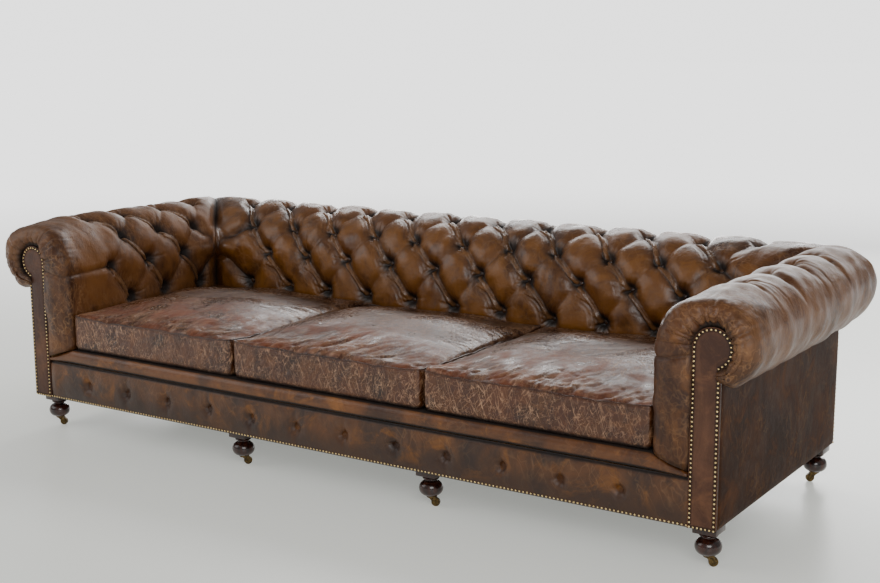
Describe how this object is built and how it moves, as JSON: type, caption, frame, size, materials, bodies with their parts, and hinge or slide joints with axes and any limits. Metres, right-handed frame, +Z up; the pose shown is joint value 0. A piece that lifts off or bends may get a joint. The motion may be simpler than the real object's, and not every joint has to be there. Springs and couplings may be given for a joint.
{
  "type": "buttoned leather sofa",
  "caption": "Long three-seat sofa in worn buttoned leather, with rolled arms and back of one height, loose seat cushions and turned feet on small swivel casters.",
  "frame": {"origin": "on the floor, under the middle of the sofa's box", "axes": "+X along the length, -Y towards the front of the seat, +Z up"},
  "size_m": [2.9, 1.112, 0.77],
  "materials": {
    "tufted_leather": "worn, waxed, orange-brown with dark folds",
    "seat_leather": "worn red-brown, creased, with a soft sheen",
    "facing_leather": "dark red-brown, lightly creased",
    "panel_leather": "dark grey-brown, streaked",
    "foot_wood": "dark red-brown polish",
    "aged_brass": "dull, darkened",
    "timber": "plain sawn",
    "spring_steel": "plain wire",
    "platform_canvas": "plain weave",
    "dust_cloth": "plain black cloth"
  },
  "bodies": {
    "sofa": {"base_rail_front": "timber", "base_rail_rear": "timber", "base_rail_left": "timber", "base_rail_right": "timber", "cross_rail_left": "timber", "cross_rail_right": "timber", "arm_frame_left": "timber", "arm_frame_right": "timber", "back_frame": "timber", "spring_unit_left": "spring_steel", "spring_unit_middle": "spring_steel", "spring_unit_right": "spring_steel", "seat_platform": "platform_canvas", "dust_cover": "dust_cloth", "front_rail_cover": "tufted_leather", "seat_lip": "seat_leather", "arm_pad_left": "tufted_leather", "arm_pad_right": "tufted_leather", "arm_facing_left": "facing_leather", "arm_facing_right": "facing_leather", "arm_outer_panel_left": "panel_leather", "arm_outer_panel_right": "panel_leather", "back_pad": "tufted_leather", "back_outer_panel": "panel_leather", "seat_cushion_left": "seat_leather", "seat_cushion_middle": "seat_leather", "seat_cushion_right": "seat_leather", "foot_front_left": "foot_wood", "caster_socket_front_left": "aged_brass", "foot_front_mid_left": "foot_wood", "caster_socket_front_mid_left": "aged_brass", "foot_front_mid_right": "foot_wood", "caster_socket_front_mid_right": "aged_brass", "foot_front_right": "foot_wood", "caster_socket_front_right": "aged_brass", "foot_rear_left": "foot_wood", "caster_socket_rear_left": "aged_brass", "foot_rear_mid_left": "foot_wood", "caster_socket_rear_mid_left": "aged_brass", "foot_rear_mid_right": "foot_wood", "caster_socket_rear_mid_right": "aged_brass", "foot_rear_right": "foot_wood", "caster_socket_rear_right": "aged_brass"},
    "fork_front_left": {"caster_fork_front_left": "aged_brass"},
    "wheel_front_left": {"caster_wheel_front_left": "aged_brass"},
    "fork_front_mid_left": {"caster_fork_front_mid_left": "aged_brass"},
    "wheel_front_mid_left": {"caster_wheel_front_mid_left": "aged_brass"},
    "fork_front_mid_right": {"caster_fork_front_mid_right": "aged_brass"},
    "wheel_front_mid_right": {"caster_wheel_front_mid_right": "aged_brass"},
    "fork_front_right": {"caster_fork_front_right": "aged_brass"},
    "wheel_front_right": {"caster_wheel_front_right": "aged_brass"},
    "fork_rear_left": {"caster_fork_rear_left": "aged_brass"},
    "wheel_rear_left": {"caster_wheel_rear_left": "aged_brass"},
    "fork_rear_mid_left": {"caster_fork_rear_mid_left": "aged_brass"},
    "wheel_rear_mid_left": {"caster_wheel_rear_mid_left": "aged_brass"},
    "fork_rear_mid_right": {"caster_fork_rear_mid_right": "aged_brass"},
    "wheel_rear_mid_right": {"caster_wheel_rear_mid_right": "aged_brass"},
    "fork_rear_right": {"caster_fork_rear_right": "aged_brass"},
    "wheel_rear_right": {"caster_wheel_rear_right": "aged_brass"}
  },
  "joints": [
    {"name": "swivel_front_left", "type": "hinge", "parent": "sofa", "child": "fork_front_left", "pos_m": [-1.301, -0.483, 0.031], "axis": [0, 0, 1], "continuous": true},
    {"name": "roll_front_left", "type": "hinge", "parent": "fork_front_left", "child": "wheel_front_left", "pos_m": [-1.28776, -0.47596, 0.0135], "axis": [-0.4695, 0.8829, 0], "continuous": true},
    {"name": "swivel_front_mid_left", "type": "hinge", "parent": "sofa", "child": "fork_front_mid_left", "pos_m": [-0.385, -0.483, 0.031], "axis": [0, 0, 1], "continuous": true},
    {"name": "roll_front_mid_left", "type": "hinge", "parent": "fork_front_mid_left", "child": "wheel_front_mid_left", "pos_m": [-0.37796, -0.46976, 0.0135], "axis": [-0.8829, 0.4695, 0], "continuous": true},
    {"name": "swivel_front_mid_right", "type": "hinge", "parent": "sofa", "child": "fork_front_mid_right", "pos_m": [0.385, -0.483, 0.031], "axis": [0, 0, 1], "continuous": true},
    {"name": "roll_front_mid_right", "type": "hinge", "parent": "fork_front_mid_right", "child": "wheel_front_mid_right", "pos_m": [0.39909, -0.47787, 0.0135], "axis": [-0.342, 0.9397, 0], "continuous": true},
    {"name": "swivel_front_right", "type": "hinge", "parent": "sofa", "child": "fork_front_right", "pos_m": [1.301, -0.483, 0.031], "axis": [0, 0, 1], "continuous": true},
    {"name": "roll_front_right", "type": "hinge", "parent": "fork_front_right", "child": "wheel_front_right", "pos_m": [1.31344, -0.47461, 0.0135], "axis": [-0.5592, 0.829, 0], "continuous": true},
    {"name": "swivel_rear_left", "type": "hinge", "parent": "sofa", "child": "fork_rear_left", "pos_m": [-1.301, 0.394, 0.031], "axis": [0, 0, 1], "continuous": true},
    {"name": "roll_rear_left", "type": "hinge", "parent": "fork_rear_left", "child": "wheel_rear_left", "pos_m": [-1.31399, 0.4015, 0.0135], "axis": [-0.5, -0.866, 0], "continuous": true},
    {"name": "swivel_rear_mid_left", "type": "hinge", "parent": "sofa", "child": "fork_rear_mid_left", "pos_m": [-0.385, 0.394, 0.031], "axis": [0, 0, 1], "continuous": true},
    {"name": "roll_rear_mid_left", "type": "hinge", "parent": "fork_rear_mid_left", "child": "wheel_rear_mid_left", "pos_m": [-0.39859, 0.38766, 0.0135], "axis": [0.4226, -0.9063, 0], "continuous": true},
    {"name": "swivel_rear_mid_right", "type": "hinge", "parent": "sofa", "child": "fork_rear_mid_right", "pos_m": [0.385, 0.394, 0.031], "axis": [0, 0, 1], "continuous": true},
    {"name": "roll_rear_mid_right", "type": "hinge", "parent": "fork_rear_mid_right", "child": "wheel_rear_mid_right", "pos_m": [0.37796, 0.40724, 0.0135], "axis": [-0.8829, -0.4695, 0], "continuous": true},
    {"name": "swivel_rear_right", "type": "hinge", "parent": "sofa", "child": "fork_rear_right", "pos_m": [1.301, 0.394, 0.031], "axis": [0, 0, 1], "continuous": true},
    {"name": "roll_rear_right", "type": "hinge", "parent": "fork_rear_right", "child": "wheel_rear_right", "pos_m": [1.28886, 0.38518, 0.0135], "axis": [0.5878, -0.809, 0], "continuous": true}
  ]
}
